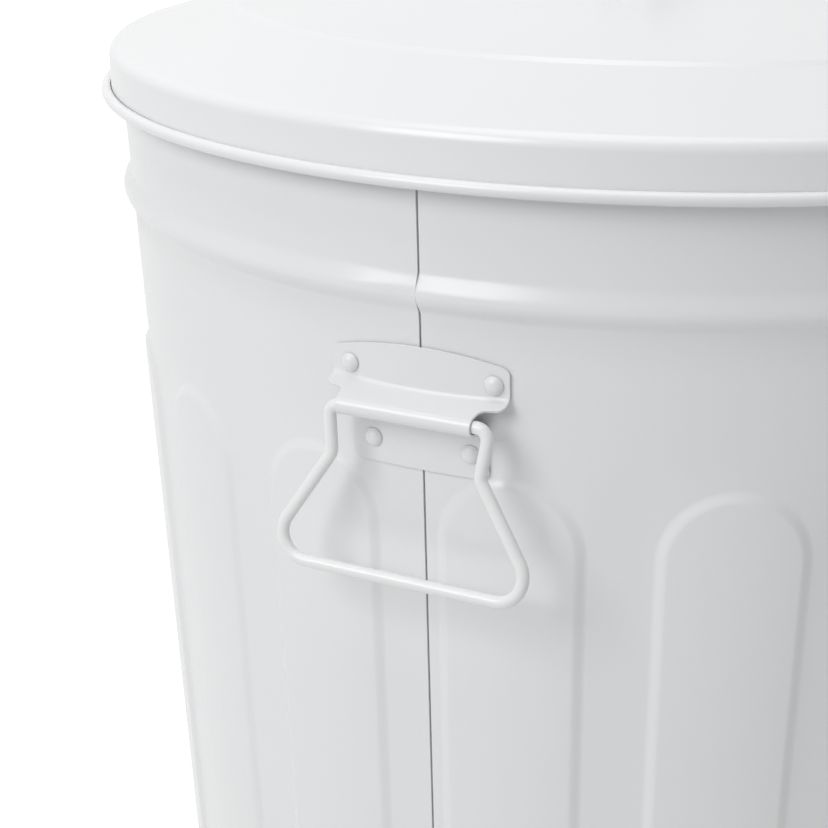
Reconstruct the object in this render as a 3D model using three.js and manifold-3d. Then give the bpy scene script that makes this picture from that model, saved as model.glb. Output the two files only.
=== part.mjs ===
// Round painted-steel can with a lift-off lid and a hinged wire bail on each side.
// Millimetres, +Z up. Origin on the floor at the can's centre, bails at -X and +X.
// The wall is two embossed half shells, alike under a half turn, joined at -X and +X.
import * as THREE from 'three';
import { mergeVertices } from 'three/addons/utils/BufferGeometryUtils.js';
import Module from 'manifold-3d';

const wasm = await Module();
wasm.setup();

// ---- driving dimensions: sheet and rings -------------------------------------
const SHEET = 0.6;            // wall, pan and lid sheet
const GAP = 0.35;             // clearance between pieces that touch
const FACETS = 54;            // flats round every ring, three to a panel
const HALF_TURN = 180;        // degrees of wall in one half shell

// ---- driving dimensions: can body --------------------------------------------
const LID_LINE = 565;         // height of the lid bead's lower edge
const WALL_RADIUS = 224.5;    // outside of the wall at the lid line
const TAPER = 0.05;           // the wall leans out this much per mm of height
const NECK_RADIUS = 224.1;    // outside of the wall where it enters the lid
const RIM_CURL_RADIUS = 2.3;  // outside of the rolled rim
const RIM_CURL_Z = 577.6;
const RIM_CURL_TURN = 307;    // degrees the sheet is rolled through
const RIM_WIRE_RADIUS = 1.1;
const RIM_CURL_STEPS = 5;

const FOOT_WALL_TOP = 14;     // the wall stands upright below this height
const FOOT_FOLD_HEIGHT = 9;   // height of the fold's inner leg
const FOOT_FOLD_WIDTH = 2.4;  // flat ring that the can stands on

const BEAD_RISE = 3.5;        // how far the upper bead stands out
const UPPER_BEAD = [521, 536];
const LOWER_BEAD = [38, 54];
const LOWER_BEAD_RISE = 3;
const BEAD_STEPS = 4;

// ---- driving dimensions: raised panels ---------------------------------------
const PANEL_PITCH = 20;       // degrees from panel to panel
const PANEL_OFFSET = 8.8;     // degrees from a seam to the first panel's middle
const PANEL_HALF_ANGLE = 6.67;
const PANEL_RISE = 1.8;
const PANEL_SLOPE = 5.2;      // width of the slope round a panel
const PANEL_TOP = 464.3;      // crown of the upper arch
const PANEL_BOTTOM = 82;      // crown of the lower arch
const ARCH_STEPS = 6;

// ---- driving dimensions: lap seam ----------------------------------------------
const SEAM_SLIT = 0.1;        // degrees from a plain edge to the seam line
const SEAM_BEND = 0.35;       // degrees over which the other sheet dives under
const TONGUE_DROP = 1.25;     // depth of the tongue's face below the wall's face
const TONGUE_ANGLE = 2.3;     // degrees that the tongue reaches under the edge
const TONGUE_FROM = 21;

// ---- driving dimensions: bottom pan --------------------------------------------
const PAN_Z = 18;             // top face of the pan's floor ring
const PAN_FLANGE_RADIUS = 196.05;
const PAN_FLANGE_BOTTOM = 1.2;
const PAN_SWAGE_RADIUS = 152; // edge of the raised middle
const PAN_SWAGE_RISE = 4;

// ---- driving dimensions: lid -----------------------------------------------------
const LID_SKIRT_RADIUS = 229.1;
const LID_BEAD_RADIUS = 2.25;
const LID_CURL_TURN = 305;
const LID_CURL_STEPS = 6;
const LID_SHOULDER_Z = 584.8; // where the skirt's and the cone's lines would cross
const LID_SHOULDER_FILLET = 5.5;
const LID_CONE_SLOPE = 0.287;
const LID_STEP_RADIUS = 179.3;
const LID_STEP = [2.4, 1.5];  // width and height of the small step
const LID_CROWN_SLOPE = 0.14;
const LID_FLAT_RADIUS = 78;   // flat middle that carries the handle

// ---- driving dimensions: handle on the lid -----------------------------------------
const STRAP_WIDTH = 24;
const STRAP_THICKNESS = 1.6;
const STRAP_HALF_LENGTH = 66;
const STRAP_HALF_SPAN = 45;
const STRAP_HEIGHT = 32;
const STRAP_BEND = 11;
const STRAP_FOOT_BEND = 3;
const STRAP_RIVETS = [57, 6]; // distance from the middle along and across the strap

// ---- driving dimensions: brackets, rivets and bails ---------------------------------
const PLATE = 0.8;            // bracket sheet
const WIRE_RADIUS = 2.25;
const PIVOT_Z = LID_LINE - 77.3;
const PIVOT_STANDOFF = 9.8;   // from the wall to the wire's centre
const TUNNEL_HALF_WIDTH = 25.2;
const TUNNEL_ARC = [-90, -45, 0, 38]; // degrees round the wire, up to where the ramp leaves it
const RAMP_TOP = LID_LINE - 71.7;
const RAMP_BOW = 1.2;         // the ramp's bend rises this much towards its ends
const RAMP_OUTLINE = [        // share of the way from tunnel to wall, and half width there
  [0.3, 25.9],
  [0.46, 27.6],
  [0.5, 31.2],
  [0.74, 33.7],
];
const EAR_HALF_WIDTH = 34;
const EAR_TOP = LID_LINE - 62;
const PLATE_CORNER = 3;
const PLATE_CROWN = LID_LINE - 55.5;  // top of the plate's arched edge
const PLATE_ARCH = 3.6;       // the arched edge falls this much towards its ends
const SKIRT_HALF_WIDTH = 27;  // lower flange
const SKIRT_BOTTOM = LID_LINE - 100.2;
const UPPER_RIVET = [27, LID_LINE - 65.3];
const LOWER_RIVET = [18.4, LID_LINE - 91.3];
const RIVET_HEAD_RADIUS = 3.3;
const RIVET_HEAD_HEIGHT = 1.9;
const RIVET_HEAD_BEND = [0.75, 0.65]; // shares of the head's radius and height at its bend
const RIVET_SHANK_RADIUS = 2;
const RIVET_TAIL_RADIUS = 3;
const RIVET_TAIL_HEIGHT = 1.2;
const RIVET_HOLE_RADIUS = 2.6;
const RIVET_HOLE_DEPTH = 12;
const RIVET_SIDES = 8;

const BAIL_LEAN = 7.9;        // degrees that the hanging bail stands off the wall
const LEG_HALF_WIDTH = 30.2;  // bail's short upper legs, at the pivot
const KNEE = [28, 17.3];      // half width and distance below the pivot
const BAR = [53.8, 57.8];     // half width and distance where leg and bar lines would cross
const PIVOT_FILLET = 4;
const KNEE_FILLET = 12;
const BAR_FILLET = 9;
const BAIL_BUTT = 1;          // space between the wire's two ends
const WIRE_SIDES = 8;

const WHITE_PAINT = 0xe6e8e9;
const ZINC = 0xb9bcbd;

// ---- small helpers ------------------------------------------------------------------
const radians = THREE.MathUtils.degToRad;
const wallRadius = z => WALL_RADIUS - TAPER * (LID_LINE - z);
const lastOf = list => list[list.length - 1];

/** Weld a geometry's corners, drop its empty triangles and turn its faces outwards. */
function welded(geometry) {
  const bare = geometry.index ? geometry.toNonIndexed() : geometry.clone();
  bare.deleteAttribute('normal');
  bare.deleteAttribute('uv');
  const merged = mergeVertices(bare, 1e-4);
  const corners = merged.getAttribute('position');
  const at = i => new THREE.Vector3().fromBufferAttribute(corners, i);
  const kept = [];
  let volume = 0;
  for (let i = 0; i < merged.index.count; i += 3) {
    const [a, b, c] = [0, 1, 2].map(k => merged.index.getX(i + k));
    if (a === b || b === c || c === a) continue;
    kept.push(a, b, c);
    volume += at(a).dot(at(b).cross(at(c)));
  }
  if (volume < 0) kept.reverse();
  const solid = new THREE.BufferGeometry();
  solid.setAttribute('position', corners);
  solid.setIndex(kept);
  return solid;
}

function toManifold(geometry) {
  const solid = welded(geometry);
  const vertProperties = new Float32Array(solid.getAttribute('position').array);
  const triVerts = new Uint32Array(solid.index.array);
  return new wasm.Manifold(new wasm.Mesh({ numProp: 3, vertProperties, triVerts }));
}

function fromManifold(manifold) {
  const mesh = manifold.getMesh();
  const geometry = new THREE.BufferGeometry();
  geometry.setAttribute('position', new THREE.BufferAttribute(mesh.vertProperties, 3));
  geometry.setIndex(new THREE.BufferAttribute(mesh.triVerts, 1));
  return geometry;
}

/** Cut every tool out of a piece. */
function drilled(geometry, tools) {
  let manifold = toManifold(geometry);
  for (const tool of tools) manifold = manifold.subtract(toManifold(tool));
  return fromManifold(manifold);
}

/** Spin a closed outline of [radius, height] points round +Z, its corners in line with the wall's. */
function spun(outline, sides = FACETS) {
  const points = [...outline, outline[0]].map(([radius, height]) => new THREE.Vector2(radius, height));
  return welded(new THREE.LatheGeometry(points, sides, Math.PI / 2).rotateX(Math.PI / 2));
}

/** A place on a sheet's outer face, with the direction that is out of the sheet. */
const station = (a, b, outA, outB) => ({ a, b, outA, outB });

/** Stations round an arc; the sheet's outer face looks away from the centre, or towards it. */
function arcStations(centreA, centreB, radius, from, to, steps, towardsCentre) {
  const side = towardsCentre ? -1 : 1;
  return Array.from({ length: steps + 1 }, (_, i) => {
    const angle = radians(from + (to - from) * i / steps);
    const [c, s] = [Math.cos(angle), Math.sin(angle)];
    return station(centreA + radius * c, centreB + radius * s, side * c, side * s);
  });
}

/**
 * Stations along a bent line given by its corners [a, b, fillet, steps].
 * The outer face is on the line's left. A sharp corner gets a mitre.
 */
function bentLine(corners) {
  const result = [];
  const places = corners.map(([a, b]) => new THREE.Vector2(a, b));
  places.forEach((place, i) => {
    const before = i > 0 ? place.clone().sub(places[i - 1]).normalize() : null;
    const after = i < places.length - 1 ? places[i + 1].clone().sub(place).normalize() : null;
    if (!before || !after) {
      const along = after ?? before;
      result.push(station(place.x, place.y, -along.y, along.x));
      return;
    }
    const turn = Math.atan2(before.cross(after), before.dot(after));
    const [, , fillet = 0, steps = 1] = corners[i];
    if (fillet === 0) {
      const mitre = before.clone().add(after).normalize().divideScalar(Math.cos(turn / 2));
      result.push(station(place.x, place.y, -mitre.y, mitre.x));
      return;
    }
    const side = Math.sign(turn);
    const start = place.clone().addScaledVector(before, -fillet * Math.tan(Math.abs(turn) / 2));
    const centre = new THREE.Vector2(start.x - side * fillet * before.y, start.y + side * fillet * before.x);
    for (let k = 0; k <= steps; k++) {
      const angle = turn * k / steps;
      const out = new THREE.Vector2(-before.y, before.x).rotateAround(new THREE.Vector2(), angle);
      const spot = centre.clone().addScaledVector(out, -side * fillet);
      result.push(station(spot.x, spot.y, out.x, out.y));
    }
  });
  return result;
}

/** Closed outline of a sheet: along its outer face, and back along its inner face. */
function sheetOutline(stations, thickness) {
  const outer = stations.map(s => [s.a, s.b]);
  const inner = stations.map(s => [s.a - thickness * s.outA, s.b - thickness * s.outB]);
  return [...outer, ...inner.reverse()];
}

/** A net of triangles over a sheet. Each knot has an outer and an inner place and an order u. */
class Net {
  constructor() {
    this.knots = [];
    this.faces = [];
  }

  add(u, outer, inner) {
    return this.knots.push({ u, outer, inner }) - 1;
  }

  /** Fill the space between two rows of knots, both in rising order of u. */
  zip(lower, upper) {
    const u = knot => this.knots[knot].u;
    let [i, j] = [0, 0];
    while (i < lower.length - 1 || j < upper.length - 1) {
      const lowerLeft = i < lower.length - 1;
      const stepLower = lowerLeft && (j === upper.length - 1 || u(lower[i + 1]) <= u(upper[j + 1]) + 1e-6);
      if (stepLower) {
        this.faces.push([lower[i], lower[i + 1], upper[j]]);
        i += 1;
      } else {
        this.faces.push([lower[i], upper[j + 1], upper[j]]);
        j += 1;
      }
    }
  }

  /** Fill the band between two closed loops of as many knots, both running left round. */
  band(outerLoop, innerLoop) {
    outerLoop.forEach((knot, i) => {
      const next = (i + 1) % outerLoop.length;
      this.faces.push([knot, outerLoop[next], innerLoop[next]], [knot, innerLoop[next], innerLoop[i]]);
    });
  }

  /** Outer faces, inner faces, and a wall along every open edge. */
  solid() {
    const count = this.knots.length;
    const positions = [...this.knots.map(k => k.outer), ...this.knots.map(k => k.inner)];
    const open = new Set(this.faces.flatMap(([a, b, c]) => [`${a} ${b}`, `${b} ${c}`, `${c} ${a}`]));
    const index = [];
    for (const [a, b, c] of this.faces) {
      index.push(a, b, c, c + count, b + count, a + count);
      for (const [from, to] of [[a, b], [b, c], [c, a]]) {
        if (open.has(`${to} ${from}`)) continue;
        index.push(to, from, from + count, to, from + count, to + count);
      }
    }
    const geometry = new THREE.BufferGeometry().setFromPoints(positions);
    geometry.setIndex(index);
    return welded(geometry);
  }
}

const polar = (angle, radius, z) => new THREE.Vector3(
  radius * Math.cos(radians(angle)), radius * Math.sin(radians(angle)), z);

// ---- wall: two half shells -------------------------------------------------------------

/** Add a knot of the wall at an angle, on a station whose a is a radius and b a height. */
function wallKnot(net, angle, s) {
  const inner = polar(angle, s.a - SHEET * s.outA, s.b - SHEET * s.outB);
  return net.add(angle, polar(angle, s.a, s.b), inner);
}

const uprightStation = (z, rise = 0) => station(wallRadius(z) + rise, z, 1, 0);

/** Rounded bead between two heights, as stations from its lower edge to its upper one. */
function beadStations([from, to], rise, steps) {
  return Array.from({ length: steps + 1 }, (_, i) => {
    const along = i / steps;
    return uprightStation(from + (to - from) * along, rise * Math.sin(Math.PI * along ** 0.9) ** 1.5);
  });
}

/** Angles of a ring's corners on one half shell. */
function ringAngles(first, nearSeam) {
  const step = 360 / FACETS;
  const inner = Array.from({ length: FACETS / 2 - 1 }, (_, i) => (i + 1) * step);
  return [first, ...inner, ...(nearSeam ? [HALF_TURN - step / 2] : []), HALF_TURN - SEAM_SLIT];
}

const wallRow = (net, s, angles) => angles.map(angle => wallKnot(net, angle, s));

/** Two arches of knots, left to right, on a panel's outline widened by the given margin. */
function panelArches(net, middle, margin, rise) {
  const half = PANEL_HALF_ANGLE + THREE.MathUtils.radToDeg(margin / wallRadius(PANEL_TOP));
  const arch = (crown, side) => {
    const height = radians(PANEL_HALF_ANGLE) * wallRadius(crown);
    const spring = crown - side * height;
    return Array.from({ length: ARCH_STEPS + 1 }, (_, i) => {
      const turn = Math.PI * (1 - i / ARCH_STEPS);
      const z = spring + side * (height + margin) * Math.sin(turn);
      return wallKnot(net, middle + half * Math.cos(turn), uprightStation(z, rise));
    });
  };
  return { upper: arch(PANEL_TOP, 1), lower: arch(PANEL_BOTTOM, -1) };
}

/** One raised panel and the plain wall round it, between a row below and a row above. */
function panelTile(net, middle, below, above, left, right) {
  const foot = panelArches(net, middle, PANEL_SLOPE / 2, 0);
  const brow = panelArches(net, middle, -PANEL_SLOPE / 2, PANEL_RISE);
  net.zip(below, [left.low, ...foot.lower, right.low]);
  net.zip([left.low, foot.lower[0]], [left.high, foot.upper[0]]);
  net.zip([lastOf(foot.lower), right.low], [lastOf(foot.upper), right.high]);
  net.zip([left.high, ...foot.upper, right.high], above);
  net.band([...foot.lower, ...[...foot.upper].reverse()], [...brow.lower, ...[...brow.upper].reverse()]);
  net.zip(brow.lower, brow.upper);
}

/** The joggled tongue that runs from the shell's first edge under the other shell's last edge. */
function seamTongue(net, edge) {
  const dropped = (knot, angle) => {
    const { outer } = net.knots[knot];
    const radius = Math.hypot(outer.x, outer.y) - TONGUE_DROP;
    return wallKnot(net, angle, station(radius, outer.z, 1, 0));
  };
  const bend = edge.map(knot => dropped(knot, 0));
  const tip = edge.map(knot => dropped(knot, -TONGUE_ANGLE));
  for (let i = 0; i + 1 < edge.length; i++) {
    net.zip([tip[i], bend[i], edge[i]], [tip[i + 1], bend[i + 1], edge[i + 1]]);
  }
}

function bodyHalf() {
  const net = new Net();
  const footRadius = wallRadius(FOOT_WALL_TOP);
  const foot = bentLine([
    [footRadius - FOOT_FOLD_WIDTH, FOOT_FOLD_HEIGHT],
    [footRadius - FOOT_FOLD_WIDTH, 0],
    [footRadius, 0],
    [footRadius, FOOT_WALL_TOP],
  ]).map(s => station(s.a, s.b, -s.outA, -s.outB));
  const curlCentre = NECK_RADIUS - SHEET + RIM_CURL_RADIUS;
  const curl = arcStations(
    curlCentre, RIM_CURL_Z, RIM_CURL_RADIUS - SHEET, 180, 180 - RIM_CURL_TURN, RIM_CURL_STEPS, true);
  const plain = ringAngles(SEAM_SLIT, false);
  const lapped = ringAngles(SEAM_BEND, true);

  const lowRows = [
    ...foot.map(s => wallRow(net, s, plain)),
    wallRow(net, uprightStation(TONGUE_FROM), lapped),
    ...beadStations(LOWER_BEAD, LOWER_BEAD_RISE, BEAD_STEPS).map(s => wallRow(net, s, lapped)),
  ];
  const highRows = [
    ...beadStations(UPPER_BEAD, BEAD_RISE, BEAD_STEPS).map(s => wallRow(net, s, lapped)),
    wallRow(net, uprightStation(LID_LINE), lapped),
    ...curl.map(s => wallRow(net, s, plain)),
  ];
  for (const rows of [lowRows, highRows]) {
    for (let i = 0; i + 1 < rows.length; i++) net.zip(rows[i], rows[i + 1]);
  }

  const tiles = HALF_TURN / PANEL_PITCH;
  const lowSpring = PANEL_BOTTOM + radians(PANEL_HALF_ANGLE) * wallRadius(PANEL_BOTTOM);
  const highSpring = PANEL_TOP - radians(PANEL_HALF_ANGLE) * wallRadius(PANEL_TOP);
  const sides = Array.from({ length: tiles + 1 }, (_, i) => {
    const angle = THREE.MathUtils.clamp(i * PANEL_PITCH, SEAM_BEND, HALF_TURN - SEAM_SLIT);
    return {
      angle,
      low: wallKnot(net, angle, uprightStation(lowSpring)),
      high: wallKnot(net, angle, uprightStation(highSpring)),
    };
  });
  const between = (row, from, to) => row.filter(knot => {
    const { u } = net.knots[knot];
    return u > from - 1e-6 && u < to + 1e-6;
  });
  for (let i = 0; i < tiles; i++) {
    const [left, right] = [sides[i], sides[i + 1]];
    const below = between(lastOf(lowRows), left.angle, right.angle);
    const above = between(highRows[0], left.angle, right.angle);
    panelTile(net, i * PANEL_PITCH + PANEL_OFFSET, below, above, left, right);
  }

  const lappedBelow = lowRows.slice(foot.length).map(row => row[0]);
  const lappedAbove = highRows.slice(0, -curl.length).map(row => row[0]);
  seamTongue(net, [...lappedBelow, sides[0].low, sides[0].high, ...lappedAbove]);

  const holes = [UPPER_RIVET, LOWER_RIVET].flatMap(([across, z]) => {
    const angle = THREE.MathUtils.radToDeg(across / wallRadius(z));
    return [angle, HALF_TURN - angle].map(a => rivetHole().applyMatrix4(onWall(a, z)));
  });
  return drilled(net.solid(), holes);
}

// ---- rivets -----------------------------------------------------------------------------

/** Matrix that stands +Z out of the wall at an angle and height, and +Y along the wall. */
function onWall(angle, z, standoff = 0) {
  const tilt = Math.atan(TAPER);
  const matrix = new THREE.Matrix4().makeRotationZ(radians(angle));
  matrix.multiply(new THREE.Matrix4().makeTranslation(wallRadius(z), 0, z));
  matrix.multiply(new THREE.Matrix4().makeRotationY(Math.PI / 2 + tilt));
  return matrix.multiply(new THREE.Matrix4().makeTranslation(0, 0, standoff));
}

function rivetHole() {
  const [radius, depth] = [RIVET_HOLE_RADIUS, RIVET_HOLE_DEPTH];
  return new THREE.CylinderGeometry(radius, radius, depth, RIVET_SIDES).rotateX(Math.PI / 2);
}

/** Domed rivet with the underside of its head at z = 0 and its upset tail past the grip. */
function rivet(grip) {
  const [bendShare, bendHeight] = RIVET_HEAD_BEND;
  return spun([
    [0, RIVET_HEAD_HEIGHT],
    [bendShare * RIVET_HEAD_RADIUS, bendHeight * RIVET_HEAD_HEIGHT],
    [RIVET_HEAD_RADIUS, 0],
    [RIVET_SHANK_RADIUS, 0],
    [RIVET_SHANK_RADIUS, -grip],
    [RIVET_TAIL_RADIUS, -grip],
    [0, -grip - RIVET_TAIL_HEIGHT],
  ], RIVET_SIDES);
}

// ---- bottom pan and rim wire ---------------------------------------------------------------

function bottomPan() {
  const line = bentLine([
    [PAN_FLANGE_RADIUS, PAN_FLANGE_BOTTOM],
    [PAN_FLANGE_RADIUS, PAN_Z],
    [PAN_SWAGE_RADIUS + PAN_SWAGE_RISE, PAN_Z],
    [PAN_SWAGE_RADIUS, PAN_Z + PAN_SWAGE_RISE],
    [0, PAN_Z + PAN_SWAGE_RISE],
  ]).map(s => station(s.a, s.b, -s.outA, -s.outB));
  return spun(sheetOutline(line, SHEET));
}

function rimWire() {
  const centre = NECK_RADIUS - SHEET + RIM_CURL_RADIUS;
  const ring = arcStations(centre, RIM_CURL_Z, RIM_WIRE_RADIUS, 0, 270, 3, false);
  return spun(ring.map(s => [s.a, s.b]));
}

// ---- lid and its handle ----------------------------------------------------------------------

const coneHeight = radius => LID_SHOULDER_Z + LID_CONE_SLOPE * (LID_SKIRT_RADIUS - radius);
const stepTop = [LID_STEP_RADIUS - LID_STEP[0], coneHeight(LID_STEP_RADIUS) + LID_STEP[1]];
const LID_TOP = stepTop[1] + LID_CROWN_SLOPE * (stepTop[0] - LID_FLAT_RADIUS);

function lidShell() {
  const beadCentre = [LID_SKIRT_RADIUS - SHEET + LID_BEAD_RADIUS, LID_LINE + LID_BEAD_RADIUS];
  const dome = bentLine([
    [0, LID_TOP],
    [LID_FLAT_RADIUS, LID_TOP],
    stepTop,
    [LID_STEP_RADIUS, coneHeight(LID_STEP_RADIUS)],
    [LID_SKIRT_RADIUS, LID_SHOULDER_Z, LID_SHOULDER_FILLET, 3],
    [LID_SKIRT_RADIUS, beadCentre[1]],
  ]);
  const bead = arcStations(
    ...beadCentre, LID_BEAD_RADIUS - SHEET, 180, 180 + LID_CURL_TURN, LID_CURL_STEPS, true);
  const shell = spun(sheetOutline([...dome.slice(0, -1), ...bead], SHEET));
  const holes = strapRivetPlaces().map(([x, y]) => rivetHole().translate(x, y, LID_TOP));
  return drilled(shell, holes);
}

function strapRivetPlaces() {
  const [along, across] = STRAP_RIVETS;
  return [-along, along].flatMap(x => [[x, -across], [x, across]]);
}

function lidHandle() {
  const corners = [
    [-STRAP_HALF_LENGTH, 0],
    [-STRAP_HALF_SPAN, 0, STRAP_FOOT_BEND, 3],
    [-STRAP_HALF_SPAN, STRAP_HEIGHT, STRAP_BEND, 5],
    [STRAP_HALF_SPAN, STRAP_HEIGHT, STRAP_BEND, 5],
    [STRAP_HALF_SPAN, 0, STRAP_FOOT_BEND, 3],
    [STRAP_HALF_LENGTH, 0],
  ];
  const outline = sheetOutline(bentLine(corners), STRAP_THICKNESS);
  const shape = new THREE.Shape(outline.map(([x, y]) => new THREE.Vector2(x, y)));
  const strap = new THREE.ExtrudeGeometry(shape, { depth: STRAP_WIDTH, bevelEnabled: false });
  strap.rotateX(Math.PI / 2).translate(0, STRAP_WIDTH / 2, LID_TOP + GAP + STRAP_THICKNESS);
  const holes = strapRivetPlaces().map(([x, y]) => rivetHole().translate(x, y, LID_TOP));
  return drilled(strap, holes);
}

// ---- brackets and bails, drawn at +X -------------------------------------------------------------

const pivotRadius = wallRadius(PIVOT_Z) + PIVOT_STANDOFF;

/** Outer and inner corner of the plate where it lies on the wall, y along the wall. */
function flangePlace(y, z, innerDrop = 0) {
  const angle = THREE.MathUtils.radToDeg(y / wallRadius(z));
  const outer = polar(angle, wallRadius(z) + GAP + PLATE, z);
  return { outer, inner: polar(angle, wallRadius(z) + GAP, z - innerDrop) };
}

/** Outer and inner corner of the plate along the tunnel, at an angle round the wire. */
function tunnelPlace(y, angle) {
  const [c, s] = [Math.cos(radians(angle)), Math.sin(radians(angle))];
  const place = radius => new THREE.Vector3(pivotRadius + radius * c, y, PIVOT_Z + radius * s);
  const bore = WIRE_RADIUS + GAP;
  return { outer: place(bore + PLATE), inner: place(bore) };
}

const spread = (halfWidth, parts) => Array.from(
  { length: parts + 1 }, (_, i) => halfWidth * (2 * i / parts - 1));

/** Stamped plate: lower flange, web, tunnel round the wire, ramp with its ears, upper flange. */
function handleBracket() {
  const net = new Net();
  const row = (across, placeAt) => across.map(y => {
    const { outer, inner } = placeAt(y);
    return net.add(y, outer, inner);
  });
  const outerBend = WIRE_RADIUS + GAP + PLATE;
  const webZ = PIVOT_Z - outerBend;
  const flangeFace = wallRadius(RAMP_TOP) + GAP + PLATE;
  const toPivot = new THREE.Vector2(pivotRadius - flangeFace, PIVOT_Z - RAMP_TOP);
  const rampAngle = toPivot.angle() - 2 * Math.PI + Math.asin(outerBend / toPivot.length());
  const rampDegrees = THREE.MathUtils.radToDeg(rampAngle);
  const rampMitre = PLATE * Math.tan((Math.PI / 2 + rampAngle) / 2);
  const bendZ = y => RAMP_TOP + RAMP_BOW * (y / EAR_HALF_WIDTH) ** 2;
  const rampPlace = (y, share) => {
    const low = tunnelPlace(y, 90 + rampDegrees);
    const high = flangePlace(y, bendZ(y), rampMitre);
    return { outer: low.outer.lerp(high.outer, share), inner: low.inner.lerp(high.inner, share) };
  };
  const tunnel = spread(TUNNEL_HALF_WIDTH, 4);
  const skirtCorner = spread(SKIRT_HALF_WIDTH - PLATE_CORNER, 4);
  const topHalfWidth = EAR_HALF_WIDTH - PLATE_CORNER;
  const topZ = y => PLATE_CROWN - PLATE_ARCH * (y / topHalfWidth) ** 2;

  const rows = [
    row(skirtCorner, y => flangePlace(y, SKIRT_BOTTOM)),
    row(spread(SKIRT_HALF_WIDTH, 4), y => flangePlace(y, SKIRT_BOTTOM + PLATE_CORNER)),
    row(spread(SKIRT_HALF_WIDTH, 4), y => flangePlace(y, webZ, -PLATE)),
    ...[...TUNNEL_ARC, 90 + rampDegrees].map(angle => row(tunnel, y => tunnelPlace(y, angle))),
    ...RAMP_OUTLINE.map(([share, half]) => row(spread(half, 6), y => rampPlace(y, share))),
    row(spread(EAR_HALF_WIDTH, 6), y => rampPlace(y, 1)),
    row(spread(EAR_HALF_WIDTH, 6), y => flangePlace(y, EAR_TOP)),
    row(spread(topHalfWidth, 6), y => flangePlace(y, topZ(y))),
  ];
  for (let i = 0; i + 1 < rows.length; i++) net.zip(rows[i], rows[i + 1]);

  const holes = bracketRivetPlaces().map(([angle, z]) => rivetHole().applyMatrix4(onWall(angle, z)));
  return drilled(net.solid(), holes);
}

function bracketRivetPlaces() {
  return [UPPER_RIVET, LOWER_RIVET].flatMap(([across, z]) => {
    const angle = THREE.MathUtils.radToDeg(across / wallRadius(z));
    return [[-angle, z], [angle, z]];
  });
}

/** Path of a bent rod: its stations are the sections, so bends are fine and straights are plain. */
class RodPath extends THREE.Curve {
  constructor(points, tangents) {
    super();
    this.points = points;
    this.tangents = tangents;
  }

  getPointAt(t, target = new THREE.Vector3()) {
    return target.copy(this.points[Math.round(t * (this.points.length - 1))]);
  }

  getTangentAt(t, target = new THREE.Vector3()) {
    return target.copy(this.tangents[Math.round(t * (this.points.length - 1))]);
  }
}

/** Wire bail, hanging at its lean: butted ends in the tunnel, legs, knees and grip bar. */
function bail() {
  const corners = [
    [BAIL_BUTT / 2, 0],
    [LEG_HALF_WIDTH, 0, PIVOT_FILLET, 3],
    [KNEE[0], -KNEE[1], KNEE_FILLET, 2],
    [BAR[0], -BAR[1], BAR_FILLET, 5],
    [-BAR[0], -BAR[1], BAR_FILLET, 5],
    [-KNEE[0], -KNEE[1], KNEE_FILLET, 2],
    [-LEG_HALF_WIDTH, 0, PIVOT_FILLET, 3],
    [-BAIL_BUTT / 2, 0],
  ];
  const [out, down] = [Math.sin(radians(BAIL_LEAN)), Math.cos(radians(BAIL_LEAN))];
  const line = bentLine(corners);
  const points = line.map(s => new THREE.Vector3(pivotRadius - out * s.b, s.a, PIVOT_Z + down * s.b));
  const tangents = line.map(s => new THREE.Vector3(out * s.outA, s.outB, -down * s.outA));
  const section = new THREE.Shape(Array.from({ length: WIRE_SIDES }, (_, i) => {
    const angle = 2 * Math.PI * (i + 0.5) / WIRE_SIDES;
    return new THREE.Vector2(WIRE_RADIUS * Math.cos(angle), WIRE_RADIUS * Math.sin(angle));
  }));
  const extrudePath = new RodPath(points, tangents);
  return new THREE.ExtrudeGeometry(section, { steps: points.length - 1, bevelEnabled: false, extrudePath });
}

// ---- assembly -----------------------------------------------------------------------------------
const group = new THREE.Group();

function addPiece(parent, name, geometry, color, roughness, metalness) {
  const material = new THREE.MeshStandardMaterial({ color, roughness, metalness });
  const mesh = new THREE.Mesh(welded(geometry), material);
  mesh.name = name;
  parent.add(mesh);
  return mesh;
}

const painted = (parent, name, geometry) => addPiece(parent, name, geometry, WHITE_PAINT, 0.22, 0);
const bare = (parent, name, geometry) => addPiece(parent, name, geometry, ZINC, 0.45, 0.9);

const shell = bodyHalf();
painted(group, 'body_half_back', shell);
painted(group, 'body_half_front', shell).rotation.z = Math.PI;
bare(group, 'rim_wire', rimWire());
painted(group, 'bottom_pan', bottomPan());

painted(group, 'lid_shell', lidShell());
painted(group, 'lid_handle', lidHandle());
const strapGrip = STRAP_THICKNESS + SHEET + 3 * GAP;
strapRivetPlaces().forEach(([x, y], i) => {
  const mesh = painted(group, `lid_handle_rivet_${i + 1}`, rivet(strapGrip));
  mesh.position.set(x, y, LID_TOP + STRAP_THICKNESS + 2 * GAP);
});

const wallGrip = PLATE + SHEET + 3 * GAP;
for (const [side, turn] of [['left', Math.PI], ['right', 0]]) {
  const hardware = new THREE.Group();
  hardware.rotation.z = turn;
  group.add(hardware);
  painted(hardware, `handle_bracket_${side}`, handleBracket());
  painted(hardware, `bail_${side}`, bail());
  bracketRivetPlaces().forEach(([angle, z], i) => {
    const mesh = painted(hardware, `bracket_rivet_${side}_${i + 1}`, rivet(wallGrip));
    mesh.applyMatrix4(onWall(angle, z, PLATE + 2 * GAP));
  });
}

export default group;
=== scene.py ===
"""White enamelled steel can with a lift-off lid: the looks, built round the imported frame."""
import logging
import math
from dataclasses import dataclass, field
from enum import Enum

import bpy
from mathutils import Matrix, Quaternion, Vector

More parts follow.
